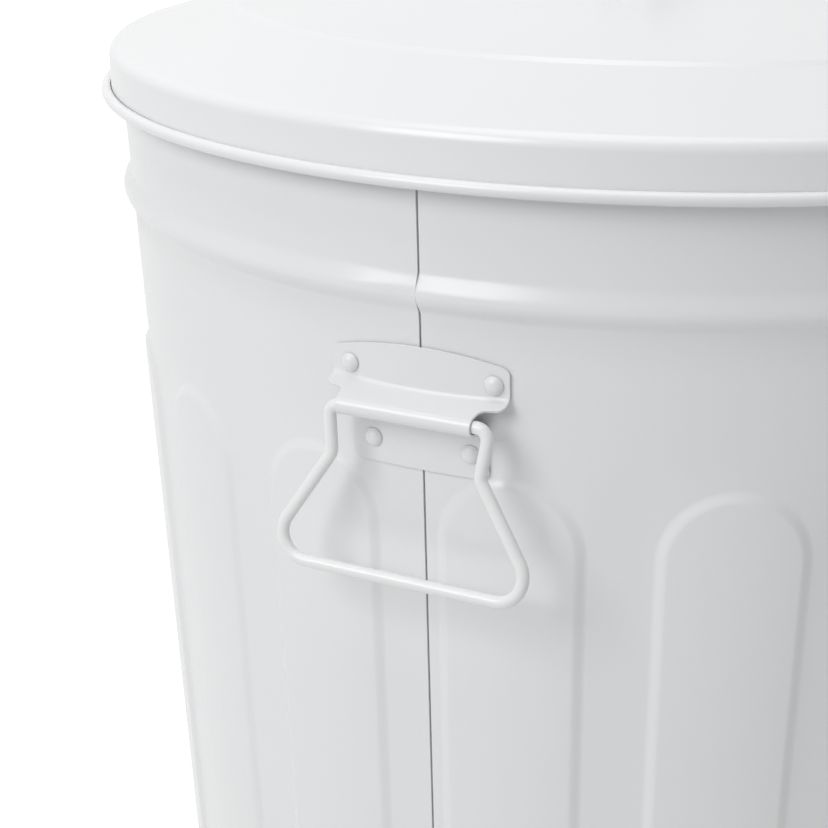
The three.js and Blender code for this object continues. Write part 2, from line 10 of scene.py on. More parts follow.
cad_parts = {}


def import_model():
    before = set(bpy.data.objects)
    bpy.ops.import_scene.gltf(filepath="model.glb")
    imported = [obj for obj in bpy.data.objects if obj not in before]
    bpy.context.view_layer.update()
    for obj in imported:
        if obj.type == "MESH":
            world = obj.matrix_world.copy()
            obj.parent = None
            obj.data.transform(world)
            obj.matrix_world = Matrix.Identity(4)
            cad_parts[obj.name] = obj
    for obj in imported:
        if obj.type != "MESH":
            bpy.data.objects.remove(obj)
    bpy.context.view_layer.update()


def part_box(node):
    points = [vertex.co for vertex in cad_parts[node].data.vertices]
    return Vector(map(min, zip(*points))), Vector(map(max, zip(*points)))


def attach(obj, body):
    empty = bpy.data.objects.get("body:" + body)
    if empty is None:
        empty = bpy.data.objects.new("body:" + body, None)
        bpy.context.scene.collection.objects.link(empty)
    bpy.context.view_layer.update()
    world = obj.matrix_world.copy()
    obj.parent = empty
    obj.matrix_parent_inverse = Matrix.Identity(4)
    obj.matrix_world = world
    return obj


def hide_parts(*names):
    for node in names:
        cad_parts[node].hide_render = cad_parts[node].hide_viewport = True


LOG = logging.getLogger("can")
MM = 0.001
TOUCH = 1e-6    # closer than this is the same place, in metres or degrees


# ---- profiles ------------------------------------------------------------------------------------


@dataclass(frozen=True)
class Station:
    """A place on a sheet's outer face, in millimetres, with the direction that is out of it."""

    a: float
    b: float
    out_a: float
    out_b: float


def arc_stations(centre: tuple[float, float], radius: float, start: float, stop: float,
                 steps: int, towards_centre: bool = False) -> list[Station]:
    """Lay stations round an arc.

    Args:
        centre: the arc's centre.
        radius: radius of the sheet's outer face.
        start: first angle in degrees.
        stop: last angle in degrees.
        steps: number of steps between the first and last station.
        towards_centre: whether the outer face looks at the centre.

    Returns:
        The stations in order.
    """
    side = -1 if towards_centre else 1
    stations = []
    for i in range(steps + 1):
        angle = math.radians(start + (stop - start) * i / steps)
        c, s = math.cos(angle), math.sin(angle)
        stations.append(Station(centre[0] + radius * c, centre[1] + radius * s, side * c, side * s))
    return stations


def bent_line(corners: list[tuple]) -> list[Station]:
    """Lay stations along a line bent at rounded corners, outer face on its left.

    Args:
        corners: tuples (a, b) for the ends and sharp corners, or (a, b, fillet, steps).

    Returns:
        The stations in order.
    """
    places = [Vector(corner[:2]) for corner in corners]
    stations = []
    for i, place in enumerate(places):
        before = (place - places[i - 1]).normalized() if i > 0 else None
        after = (places[i + 1] - place).normalized() if i + 1 < len(places) else None
        if before is None or after is None:
            along = after or before
            stations.append(Station(place.x, place.y, -along.y, along.x))
            continue
        turn = math.atan2(before.x * after.y - before.y * after.x, before.dot(after))
        fillet, steps = corners[i][2:] if len(corners[i]) == 4 else (0.0, 1)
        if fillet == 0.0:
            mitre = (before + after).normalized() / math.cos(turn / 2)
            stations.append(Station(place.x, place.y, -mitre.y, mitre.x))
            continue
        side = math.copysign(1.0, turn)
        start = place - before * (fillet * math.tan(abs(turn) / 2))
        centre = Vector((start.x - side * fillet * before.y, start.y + side * fillet * before.x))
        for k in range(steps + 1):
            angle = turn * k / steps
            c, s = math.cos(angle), math.sin(angle)
            out = Vector((-before.y * c - before.x * s, -before.y * s + before.x * c))
            spot = centre - out * (side * fillet)
            stations.append(Station(spot.x, spot.y, out.x, out.y))
    return stations


def sheet_outline(stations: list[Station], thickness: float) -> list[tuple[float, float]]:
    """Close a sheet's outline: along its outer face and back along its inner one."""
    outer = [(s.a, s.b) for s in stations]
    inner = [(s.a - thickness * s.out_a, s.b - thickness * s.out_b) for s in stations]
    return outer + inner[::-1]


def smooth_step(x: float) -> float:
    """Rise softly from 0 to 1 as x goes from 0 to 1."""
    x = min(1.0, max(0.0, x))
    return x * x * (3 - 2 * x)


# ---- the modelling bench -------------------------------------------------------------------------


class Bench:
    """Edit-mode work that several pieces share."""

    @staticmethod
    def clear() -> None:
        """Deselect everything, so that an operator acts on the new piece only."""
        for obj in bpy.context.selected_objects:
            obj.select_set(False)

    @staticmethod
    def named(name: str) -> bpy.types.Object:
        """Name the object just added, and its mesh."""
        obj = bpy.context.active_object
        obj.name = name
        obj.data.name = name
        return obj

    @staticmethod
    def pick(obj: bpy.types.Object) -> None:
        """Make an object the active one, and the only one selected."""
        Bench.clear()
        obj.select_set(True)
        bpy.context.view_layer.objects.active = obj

    @staticmethod
    def edit() -> None:
        """Enter edit mode with all of the active object selected."""
        bpy.ops.object.mode_set(mode="EDIT")
        bpy.ops.mesh.select_all(action="SELECT")

    @staticmethod
    def weld() -> None:
        """Join the corners that lie in one place."""
        bpy.ops.mesh.select_all(action="SELECT")
        bpy.ops.mesh.remove_doubles(threshold=TOUCH)

    @staticmethod
    def leave() -> None:
        """Turn every face outwards and leave edit mode."""
        bpy.ops.mesh.select_all(action="SELECT")
        bpy.ops.mesh.normals_make_consistent(inside=False)
        bpy.ops.object.mode_set(mode="OBJECT")

    @staticmethod
    def apply(obj: bpy.types.Object, kind: str, **settings: object) -> None:
        """Add a modifier with the given settings and apply it."""
        modifier = obj.modifiers.new(kind.lower(), kind)
        for key, value in settings.items():
            setattr(modifier, key, value)
        Bench.pick(obj)
        bpy.ops.object.modifier_apply(modifier=modifier.name)

    @staticmethod
    def soften(obj: bpy.types.Object, width: float, degrees: float, steps: int = 3) -> None:
        """Round the edges that are sharper than an angle, to a width in millimetres."""
        Bench.apply(obj, "BEVEL", width=width * MM, segments=steps, limit_method="ANGLE",
                    angle_limit=math.radians(degrees))

    @staticmethod
    def smooth(obj: bpy.types.Object, degrees: float = 40.0) -> None:
        """Shade smooth across edges flatter than an angle."""
        Bench.pick(obj)
        bpy.ops.object.shade_smooth_by_angle(angle=math.radians(degrees))

    @staticmethod
    def ring(name: str, outline: list[tuple[float, float]], filled: bool = False,
             turned: Matrix = Matrix.Identity(4)) -> bpy.types.Object:
        """Add a circle primitive and push its corners onto an outline in the XZ plane.

        Args:
            name: name of the new piece.
            outline: corners in millimetres as (x, z).
            filled: whether the ring carries a face.
            turned: matrix applied to the ring, in metres.

        Returns:
            The new object, in object mode.
        """
        Bench.clear()
        fill = "NGON" if filled else "NOTHING"
        bpy.ops.mesh.primitive_circle_add(vertices=len(outline), radius=MM, fill_type=fill)
        obj = Bench.named(name)
        for vertex, (x, z) in zip(obj.data.vertices, outline):
            vertex.co = turned @ Vector((x * MM, 0.0, z * MM))
        return obj

    @staticmethod
    def spun(name: str, outline: list[tuple[float, float]], steps: int) -> bpy.types.Object:
        """Spin a closed outline of (radius, height) right round the Z axis."""
        obj = Bench.ring(name, outline)
        Bench.edit()
        bpy.ops.mesh.spin(steps=steps, angle=2 * math.pi, center=(0, 0, 0), axis=(0, 0, 1))
        Bench.weld()
        bpy.ops.mesh.delete_loose()
        Bench.leave()
        return obj

    @staticmethod
    def copy(obj: bpy.types.Object, name: str, placed: Matrix) -> bpy.types.Object:
        """Copy a piece with its own mesh and move the copy's mesh by a matrix."""
        twin = obj.copy()
        twin.data = obj.data.copy()
        twin.name = name
        twin.data.name = name
        twin.data.transform(placed)
        bpy.context.scene.collection.objects.link(twin)
        return twin


# ---- finishes ------------------------------------------------------------------------------------


class Slot(Enum):
    """Material slots of the record."""

    SHEET = "painted_sheet"
    HARDWARE = "painted_hardware"
    WIRE = "painted_wire"
    ZINC = "zinc_wire"


class Graph:
    """Short hand for adding and joining shader nodes in one tree."""

    def __init__(self, tree: bpy.types.NodeTree) -> None:
        """Keep the tree that nodes are added to."""
        self.tree = tree

    @classmethod
    def fresh(cls, owner: bpy.types.ID) -> "Graph":
        """Empty the node tree of a material or world, and work on it."""
        owner.use_nodes = True
        owner.node_tree.nodes.clear()
        return cls(owner.node_tree)

    def add(self, kind: str, settings: dict | None = None, **inputs: object) -> bpy.types.Node:
        """Add a node, set its properties, and set or join its inputs.

        Args:
            kind: the node's type name.
            settings: properties of the node.
            inputs: socket names, with _ for a space, and a value or an output socket.

        Returns:
            The new node.
        """
        node = self.tree.nodes.new(kind)
        for key, value in (settings or {}).items():
            setattr(node, key, value)
        for key, value in inputs.items():
            self.feed(node.inputs[key.replace("_", " ")], value)
        return node

    def feed(self, socket: bpy.types.NodeSocket, value: object) -> None:
        """Join an output to an input, or set the input's value."""
        if isinstance(value, bpy.types.NodeSocket):
            self.tree.links.new(value, socket)
        else:
            socket.default_value = value

    def place(self) -> bpy.types.NodeSocket:
        """Return the place on the object, in metres."""
        return self.add("ShaderNodeTexCoord").outputs["Object"]

    def noise(self, vector: object, scale: object, detail: float) -> bpy.types.NodeSocket:
        """Add a noise texture and return its value."""
        node = self.add("ShaderNodeTexNoise", Vector=vector, Scale=scale, Detail=detail)
        return node.outputs["Fac"]

    def spread(self, value: object, low: float, high: float,
               source: tuple[float, float] = (0.0, 1.0)) -> bpy.types.NodeSocket:
        """Map a value from a source range to low and high, clamped."""
        node = self.add("ShaderNodeMapRange", {"clamp": True}, Value=value)
        for key, number in zip(("From Min", "From Max", "To Min", "To Max"), (*source, low, high)):
            node.inputs[key].default_value = number
        return node.outputs["Result"]

    def maths(self, operation: str, *values: object) -> bpy.types.NodeSocket:
        """Add a maths node on one or two values."""
        node = self.add("ShaderNodeMath", {"operation": operation})
        for socket, value in zip(node.inputs, values):
            self.feed(socket, value)
        return node.outputs[0]

    def blend(self, share: object, first: tuple[float, float, float],
              second: tuple[float, float, float]) -> bpy.types.NodeSocket:
        """Mix two colours by a share."""
        node = self.add("ShaderNodeMix", {"data_type": "RGBA"})
        self.feed(node.inputs["Factor"], share)
        node.inputs["A"].default_value = (*first, 1.0)
        node.inputs["B"].default_value = (*second, 1.0)
        return node.outputs["Result"]

    def seen(self) -> bpy.types.NodeSocket:
        """Return 1 for rays that show the background: camera, glossy and transmission rays."""
        path = self.add("ShaderNodeLightPath").outputs
        mirrored = self.maths("MAXIMUM", path["Is Glossy Ray"], path["Is Transmission Ray"])
        return self.maths("MAXIMUM", path["Is Camera Ray"], mirrored)

    def surface(self, shader: bpy.types.NodeSocket,
                kind: str = "ShaderNodeOutputMaterial") -> None:
        """Join a shader to a new output node."""
        self.feed(self.add(kind).inputs["Surface"], shader)


def enamel_skin(drift_scale: float = 7.0, wave_scale: float = 42.0,
                gain: float = 0.5) -> bpy.types.NodeTree:
    """Build the shared skin of sprayed enamel: soft peel and a slow drift of tone.

    Args:
        drift_scale: scale of the drift in tone, per metre.
        wave_scale: scale of the wave in gloss, per metre.
        gain: share of the peel that goes into the height.

    Returns:
        The node group with outputs Drift, Rough and Height.
    """
    tree = bpy.data.node_groups.new("enamel_skin", "ShaderNodeTree")
    tree.interface.new_socket("Peel Scale", in_out="INPUT", socket_type="NodeSocketFloat")
    for name in ("Drift", "Rough", "Height"):
        tree.interface.new_socket(name, in_out="OUTPUT", socket_type="NodeSocketFloat")
    graph = Graph(tree)
    given = graph.add("NodeGroupInput").outputs
    place = graph.place()
    peel = graph.noise(place, given["Peel Scale"], 1.5)
    result = graph.add("NodeGroupOutput").inputs
    graph.feed(result["Drift"], graph.noise(place, drift_scale, 3.0))
    graph.feed(result["Rough"], graph.noise(place, wave_scale, 1.0))
    graph.feed(result["Height"], graph.maths("MULTIPLY", peel, gain))
    return tree


@dataclass(frozen=True)
class Enamel:
    """Glossy white enamel over steel."""

    name: str
    slot: Slot
    colour: tuple[float, float, float] = (0.83, 0.838, 0.845)
    deep_colour: tuple[float, float, float] = (0.80, 0.808, 0.818)
    drift: tuple[float, float] = (0.1, 0.9)
    roughness: float = 0.25
    gloss_wave: tuple[float, float] = (-0.03, 0.02)     # roughness stays below 0.27 all over
    peel_scale: float = 420.0
    peel_depth: float = 0.00006
    ior: float = 1.5

    def material(self, skin: bpy.types.NodeTree) -> bpy.types.Material:
        """Build the material.

        Args:
            skin: the shared enamel_skin group.

        Returns:
            The new material.
        """
        material = bpy.data.materials.new(self.name)
        graph = Graph.fresh(material)
        material.diffuse_color = (*self.colour, 1.0)
        group = graph.add("ShaderNodeGroup", {"node_tree": skin})
        group.inputs["Peel Scale"].default_value = self.peel_scale
        given = group.outputs
        tone = graph.spread(given["Drift"], 0.0, 1.0, self.drift)
        rough = graph.spread(given["Rough"], *(self.roughness + x for x in self.gloss_wave))
        bump = graph.add("ShaderNodeBump", Strength=1.0, Distance=self.peel_depth,
                         Height=given["Height"])
        shader = graph.add("ShaderNodeBsdfPrincipled", Normal=bump.outputs["Normal"],
                           Base_Color=graph.blend(tone, self.colour, self.deep_colour),
                           Roughness=rough, IOR=self.ior)
        graph.surface(shader.outputs["BSDF"])
        return material


@dataclass(frozen=True)
class ZincWire:
    """Dull zinc on the wire inside the rolled rim."""

    name: str = "zinc_wire"
    slot: Slot = Slot.ZINC
    light: tuple[float, float, float] = (0.60, 0.61, 0.62)
    dark: tuple[float, float, float] = (0.42, 0.43, 0.44)
    grain_scale: float = 900.0
    grain_depth: float = 0.0001
    roughness: tuple[float, float] = (0.38, 0.55)

    def material(self) -> bpy.types.Material:
        """Build the material: mottled zinc with a fine grain."""
        material = bpy.data.materials.new(self.name)
        graph = Graph.fresh(material)
        grain = graph.noise(graph.place(), self.grain_scale, 3.0)
        bump = graph.add("ShaderNodeBump", Strength=0.5, Distance=self.grain_depth, Height=grain)
        shader = graph.add("ShaderNodeBsdfPrincipled", Metallic=0.9, Normal=bump.outputs["Normal"],
                           Base_Color=graph.blend(grain, self.light, self.dark),
                           Roughness=graph.spread(grain, *self.roughness))
        graph.surface(shader.outputs["BSDF"])
        return material


@dataclass
class Finishes:
    """The four finishes of the can, each built once."""

    sheet: Enamel = Enamel("sheet_enamel", Slot.SHEET)
    hardware: Enamel = Enamel("hardware_enamel", Slot.HARDWARE, roughness=0.24, peel_scale=520.0)
    wire: Enamel = Enamel("wire_enamel", Slot.WIRE, colour=(0.86, 0.865, 0.87),
                          deep_colour=(0.83, 0.838, 0.845), roughness=0.22, peel_scale=640.0)
    zinc: ZincWire = ZincWire()
    made: dict[Slot, bpy.types.Material] = field(default_factory=dict)

    def build(self) -> None:
        """Build every material."""
        skin = enamel_skin()
        for enamel in (self.sheet, self.hardware, self.wire):
            self.made[enamel.slot] = enamel.material(skin)
        self.made[Slot.ZINC] = self.zinc.material()

    def dress(self, obj: bpy.types.Object, slot: Slot) -> None:
        """Give a piece the finish of its slot."""
        obj.data.materials.clear()
        obj.data.materials.append(self.made[slot])


# ---- wall ----------------------------------------------------------------------------------------


@dataclass(frozen=True)
class WallSizes:
    """Sizes of the tapered wall, in millimetres and degrees."""

    sheet: float = 0.6
    lid_line: float = 565.0
    radius: float = 224.5
    taper: float = 0.05
    column: float = 2.5
    half_turn: float = 180.0

    def radius_at(self, z: float) -> float:
        """Return the outside radius at a height."""
        return self.radius - self.taper * (self.lid_line - z)

    def station(self, z: float) -> Station:
        """Return the place on the plain wall's face at a height."""
        return Station(self.radius_at(z), z, 1.0, 0.0)


WALL = WallSizes()


@dataclass
class Knot:
    """A corner of the wall's net, in polar form."""

    angle: float
    radius: float
    z: float


class Net:
    """A net of faces laid over the wall. Operators can't emboss a sheet, so its corners are laid
    one by one.
    """

    join_within = 0.4

    def __init__(self) -> None:
        """Start with nothing."""
        self.knots: list[Knot] = []
        self.faces: list[tuple[int, ...]] = []

    def add(self, angle: float, radius: float, z: float) -> int:
        """Add a corner and return its number."""
        self.knots.append(Knot(angle, radius, z))
        return len(self.knots) - 1

    def between(self, row: list[int], first: float, last: float) -> list[int]:
        """Return the corners of a row that lie between two angles, both included."""
        return [k for k in row if first - TOUCH < self.knots[k].angle < last + TOUCH]

    def zip(self, lower: list[int], upper: list[int]) -> None:
        """Fill the space between two rows of corners, both in rising order of angle."""
        i, j = 0, 0
        while i + 1 < len(lower) or j + 1 < len(upper):
            next_lower = self.knots[lower[i + 1]].angle if i + 1 < len(lower) else math.inf
            next_upper = self.knots[upper[j + 1]].angle if j + 1 < len(upper) else math.inf
            if abs(next_lower - next_upper) < self.join_within:
                self.faces.append((lower[i], lower[i + 1], upper[j + 1], upper[j]))
                i, j = i + 1, j + 1
            elif next_lower < next_upper:
                self.faces.append((lower[i], lower[i + 1], upper[j]))
                i += 1
            else:
                self.faces.append((lower[i], upper[j + 1], upper[j]))
                j += 1

    def band(self, outer: list[int], inner: list[int]) -> None:
        """Fill the band between two closed loops of as many corners."""
        count = len(outer)
        for i in range(count):
            k = (i + 1) % count
            self.faces.append((outer[i], outer[k], inner[k], inner[i]))

    def piece(self, name: str) -> bpy.types.Object:
        """Make an object of the net."""
        mesh = bpy.data.meshes.new(name)
        places = []
        for knot in self.knots:
            angle = math.radians(knot.angle)
            radius = knot.radius * MM
            places.append((radius * math.cos(angle), radius * math.sin(angle), knot.z * MM))
        mesh.from_pydata(places, [], self.faces)
        obj = bpy.data.objects.new(name, mesh)
        bpy.context.scene.collection.objects.link(obj)
        return obj


@dataclass
class WallHalf:
    """One embossed half shell, drawn from angle 0 to a half turn."""

    foot_fold: tuple[float, float] = (2.4, 9.0)
    foot_fillets: tuple[tuple[float, int], ...] = ((0.5, 3), (0.7, 4))
    foot_wall_top: float = 14.0
    tongue_from: float = 21.0
    lower_bead: tuple[float, float, float] = (38.0, 54.0, 3.0)
    upper_bead: tuple[float, float, float] = (521.0, 536.0, 3.5)
    bead_steps: tuple[int, int] = (10, 12)
    bead_lean: float = 0.9          # below 1, the bead's crest sits lower
    bead_swell: float = 1.5         # above 1, the bead rises softly from the wall
    lap_flattening: float = 0.35    # share of the bead's rise that is lost at the lap
    lap_reach: tuple[float, float] = (5.5, 4.5)
    plain_rings: tuple[float, ...] = (478.0, 492.0, 506.0)
    neck: tuple[float, float] = (224.1, 571.0)
    curl_radius: float = 2.3
    curl_z: float = 577.6
    curl_turn: float = 307.0
    curl_steps: int = 16
    pitch: float = 20.0
    panel_offset: float = 8.3
    panel_half_angle: float = 6.5
    panel_rise: float = 1.8
    panel_slope: float = 5.2
    panel_top: float = 464.3
    panel_bottom: float = 82.0
    arch_steps: int = 28
    slope_steps: int = 8
    slit: float = 0.02
    bend: float = 0.3
    tongue_drop: float = 1.25
    tongue_angle: float = 2.3
    tongue_steps: int = 8

    def angles(self, first: float) -> list[float]:
        """Return the angles of a ring's corners, from a first angle to the plain edge."""
        count = round(WALL.half_turn / WALL.column)
        return [first] + [i * WALL.column for i in range(1, count)] + [WALL.half_turn - self.slit]

    def row(self, net: Net, station: Station, angles: list[float]) -> list[int]:
        """Lay a row of corners at a station's radius and height."""
        return [net.add(angle, station.a, station.b) for angle in angles]

    def bead_row(self, net: Net, bead: tuple[float, float, float], along: float,
                 angles: list[float]) -> list[int]:
        """Lay one row of a rounded bead, flattened where it meets the lap."""
        low, high, rise = bead
        reach, run = self.lap_reach
        z = low + (high - low) * along
        bulge = rise * math.sin(math.pi * along ** self.bead_lean) ** self.bead_swell
        row = []
        for angle in angles:
            near = smooth_step((angle - WALL.half_turn + reach) / run)
            kept = 1 - self.lap_flattening * near
            row.append(net.add(angle, WALL.radius_at(z) + bulge * kept, z))
        return row

    def arches(self, net: Net, middle: float, share: float) -> tuple[list[int], list[int]]:
        """Lay the upper and lower arch of a panel's outline.

        Args:
            net: net that takes the corners.
            middle: angle of the panel's middle.
            share: place on the slope, from 0 at its foot to 1 at its brow.

        Returns:
            The upper arch and the lower arch, each from left to right.
        """
        margin = self.panel_slope * (0.5 - share)
        rise = self.panel_rise * smooth_step(share)
        half = self.panel_half_angle + math.degrees(margin / WALL.radius_at(self.panel_top))
        result = []
        for crown, side in ((self.panel_top, 1), (self.panel_bottom, -1)):
            height = math.radians(self.panel_half_angle) * WALL.radius_at(crown)
            spring = crown - side * height
            arch = []
            for i in range(self.arch_steps + 1):
                turn = math.pi * (1 - i / self.arch_steps)
                z = spring + side * (height + margin) * math.sin(turn)
                arch.append(net.add(middle + half * math.cos(turn), WALL.radius_at(z) + rise, z))
            result.append(arch)
        return result[0], result[1]

    def panel(self, net: Net, middle: float, below: list[int], above: list[int],
              left: tuple[int, int], right: tuple[int, int]) -> None:
        """Lay one raised panel and the plain wall round it.

        Args:
            net: net that takes the faces.
            middle: angle of the panel's middle.
            below: row under the panel.
            above: row over the panel.
            left: lower and upper corner of the tile's left side.
            right: lower and upper corner of the tile's right side.
        """
        steps = self.slope_steps
        loops = [self.arches(net, middle, i / steps) for i in range(steps + 1)]
        upper, lower = loops[0]
        net.zip(below, [left[0], *lower, right[0]])
        net.zip([left[0], lower[0]], [left[1], upper[0]])
        net.zip([lower[-1], right[0]], [upper[-1], right[1]])
        net.zip([left[1], *upper, right[1]], above)
        for (high, low), (next_high, next_low) in zip(loops, loops[1:]):
            net.band([*low, *high[::-1]], [*next_low, *next_high[::-1]])
        brow_upper, brow_lower = loops[-1]
        net.zip(brow_lower, brow_upper)

    def tongue(self, net: Net, edge: list[int]) -> None:
        """Lay the joggled tongue that dives under the other half's plain edge."""
        steps = self.tongue_steps
        rows = []
        for knot in edge:
            start = net.knots[knot]
            row = [knot]
            for i in range(1, steps + 1):
                share = i / steps
                depth = self.tongue_drop * (1 - math.cos(math.pi / 2 * share))
                row.append(net.add(start.angle * (1 - share), start.radius - depth, start.z))
            row.append(net.add(-self.tongue_angle, start.radius - self.tongue_drop, start.z))
            rows.append(row[::-1])
        for lower, upper in zip(rows, rows[1:]):
            net.zip(lower, upper)

    def net(self) -> Net:
        """Lay the whole half shell's outer face."""
        net = Net()
        width, leg = self.foot_fold
        foot = WALL.radius_at(self.foot_wall_top)
        inner, outer = self.foot_fillets
        fold = bent_line([(foot - width, leg), (foot - width, 0.0, *inner),
                          (foot, 0.0, *outer), (foot, self.foot_wall_top)])
        curl_centre = (self.neck[0] - WALL.sheet + self.curl_radius, self.curl_z)
        curl = arc_stations(curl_centre, self.curl_radius - WALL.sheet, WALL.half_turn,
                            WALL.half_turn - self.curl_turn, self.curl_steps)
        plain = self.angles(self.slit)
        lapped = self.angles(self.bend)
        low_steps, high_steps = self.bead_steps
        low = [self.row(net, s, plain) for s in fold]
        low.append(self.row(net, WALL.station(self.tongue_from), lapped))
        low += [self.bead_row(net, self.lower_bead, i / low_steps, lapped)
                for i in range(low_steps + 1)]
        high = [self.row(net, WALL.station(z), lapped) for z in self.plain_rings]
        high += [self.bead_row(net, self.upper_bead, i / high_steps, lapped)
                 for i in range(high_steps + 1)]
        high.append(self.row(net, WALL.station(WALL.lid_line), lapped))
        lap_top = len(high)
        high.append(self.row(net, Station(*self.neck, 1.0, 0.0), plain))
        high += [self.row(net, s, plain) for s in curl]
        for rows in (low, high):
            for lower, upper in zip(rows, rows[1:]):
                net.zip(lower, upper)
        sides = self.panels(net, low[-1], high[0])
        edge = [row[0] for row in low[len(fold):]]
        edge += [*sides[0], *(row[0] for row in high[:lap_top])]
        self.tongue(net, edge)
        return net

    def panels(self, net: Net, below: list[int], above: list[int]) -> list[tuple[int, int]]:
        """Lay every panel between two rows, and return the tiles' side corners."""
        tiles = round(WALL.half_turn / self.pitch)
        springs = []
        for crown, side in ((self.panel_bottom, -1), (self.panel_top, 1)):
            height = math.radians(self.panel_half_angle) * WALL.radius_at(crown)
            springs.append(crown - side * height)
        sides = []
        for i in range(tiles + 1):
            angle = min(max(i * self.pitch, self.bend), WALL.half_turn - self.slit)
            sides.append(tuple(net.add(angle, WALL.radius_at(z), z) for z in springs))
        for i, (left, right) in enumerate(zip(sides, sides[1:])):
            first, last = (net.knots[side[0]].angle for side in (left, right))
            self.panel(net, i * self.pitch + self.panel_offset, net.between(below, first, last),
                       net.between(above, first, last), left, right)
        return sides

    def build(self, finishes: Finishes) -> list[bpy.types.Object]:
        """Make both halves, the second by half a turn.

        Args:
            finishes: finishes of the can.

        Returns:
            The two pieces.
        """
        back = self.net().piece("wall_half_back")
        Bench.apply(back, "SOLIDIFY", thickness=WALL.sheet * MM, offset=-1.0,
                    use_even_offset=True)
        Bench.smooth(back, degrees=35.0)
        front = Bench.copy(back, "wall_half_front", Matrix.Rotation(math.pi, 4, "Z"))
        for piece, node in ((back, "body_half_back"), (front, "body_half_front")):
            finishes.dress(piece, Slot.SHEET)
            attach(piece, "can")
            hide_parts(node)
        return [back, front]


# ---- pan, lid and lid handle ---------------------------------------------------------------------


@dataclass
class BottomPan:
    """The pan pressed into the wall's foot."""

    flange: tuple[float, float] = (196.05, 1.2)
    floor: float = 18.0
    swage: tuple[float, float] = (152.0, 4.0)
    fillets: tuple[float, float] = (4.0, 1.6)
    fillet_steps: tuple[int, int] = (5, 6)
    flats: int = 144

    def build(self, finishes: Finishes) -> list[bpy.types.Object]:
        """Spin the pan from its folded profile."""
        radius, low = self.flange
        edge, rise = self.swage
        soft, tight = zip(self.fillets, self.fillet_steps)
        line = bent_line([(0.0, self.floor + rise), (edge, self.floor + rise, *soft),
                          (edge + rise, self.floor, *soft), (radius, self.floor, *tight),
                          (radius, low)])
        piece = Bench.spun("pan", sheet_outline(line, WALL.sheet), self.flats)
        Bench.smooth(piece)
        finishes.dress(piece, Slot.SHEET)
        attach(piece, "can")
        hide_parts("bottom_pan")
        return [piece]


@dataclass
class Lid:
    """Lid shell: crown, small step, sloping ring, shoulder, skirt and rolled bead."""

    skirt: float = 229.1
    bead: float = 2.25
    bead_turn: float = 305.0
    bead_steps: int = 22
    shoulder_z: float = 584.8
    shoulder_fillet: tuple[float, int] = (5.5, 12)      # fillet and its steps
    cone_slope: float = 0.287
    step_radius: float = 179.3
    step: tuple[float, float] = (2.4, 1.5)
    step_fillet: tuple[float, int] = (2.0, 5)
    crown_slope: float = 0.14
    flat_radius: float = 78.0
    flat_fillet: tuple[float, int] = (60.0, 6)
    flats: int = 180

    def cone_z(self, radius: float) -> float:
        """Return the sloping ring's height at a radius."""
        return self.shoulder_z + self.cone_slope * (self.skirt - radius)

    def step_top(self) -> tuple[float, float]:
        """Return where the small step meets the crown."""
        return self.step_radius - self.step[0], self.cone_z(self.step_radius) + self.step[1]

    def top(self) -> float:
        """Return the height of the flat middle."""
        radius, z = self.step_top()
        return z + self.crown_slope * (radius - self.flat_radius)

    def build(self, finishes: Finishes) -> list[bpy.types.Object]:
        """Spin the shell from its profile."""
        centre = (self.skirt - WALL.sheet + self.bead, WALL.lid_line + self.bead)
        dome = bent_line([
            (0.0, self.top()),
            (self.flat_radius, self.top(), *self.flat_fillet),
            (*self.step_top(), *self.step_fillet),
            (self.step_radius, self.cone_z(self.step_radius), *self.step_fillet),
            (self.skirt, self.shoulder_z, *self.shoulder_fillet),
            (self.skirt, centre[1]),
        ])
        bead = arc_stations(centre, self.bead - WALL.sheet, WALL.half_turn,
                            WALL.half_turn + self.bead_turn, self.bead_steps, True)
        piece = Bench.spun("lid", sheet_outline(dome[:-1] + bead, WALL.sheet), self.flats)
        Bench.smooth(piece)
        finishes.dress(piece, Slot.SHEET)
        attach(piece, "lid")
        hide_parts("lid_shell")
        return [piece]


@dataclass
class StrapHandle:
    """Bent strap riveted to the lid's flat middle."""

    width: float = 24.0
    thickness: float = 1.6
    half_length: float = 66.0
    half_span: float = 45.0
    height: float = 32.0
    bend: tuple[float, int] = (11.0, 12)        # fillet and its steps
    foot_bend: tuple[float, int] = (3.0, 6)
    edge: float = 0.5

    def foot_z(self) -> float:
        """Return the height of the strap's underside, from its CAD node."""
        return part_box("lid_handle")[1].z / MM - self.height

    def build(self, finishes: Finishes) -> list[bpy.types.Object]:
        """Extrude the strap's outline across its width and round its edges."""
        span, height = self.half_span, self.height
        corners = [(-self.half_length, 0.0), (-span, 0.0, *self.foot_bend),
                   (-span, height, *self.bend), (span, height, *self.bend),
                   (span, 0.0, *self.foot_bend), (self.half_length, 0.0)]
        outline = sheet_outline(bent_line(corners), self.thickness)
        placed = Matrix.Translation(Vector((0, -self.width / 2, self.foot_z())) * MM)
        piece = Bench.ring("lid_strap", outline, filled=True, turned=placed)
        across = Vector((0, self.width * MM, 0))
        Bench.edit()
        bpy.ops.mesh.extrude_region_move(TRANSFORM_OT_translate={"value": across})
        Bench.leave()
        Bench.soften(piece, self.edge, degrees=50.0)
        Bench.smooth(piece)
        finishes.dress(piece, Slot.HARDWARE)
        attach(piece, "lid")
        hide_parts("lid_handle")
        return [piece]


# ---- brackets, bails and rivets ------------------------------------------------------------------


SIDES = {"left": Matrix.Rotation(math.pi, 4, "Z"), "right": Matrix.Identity(4)}


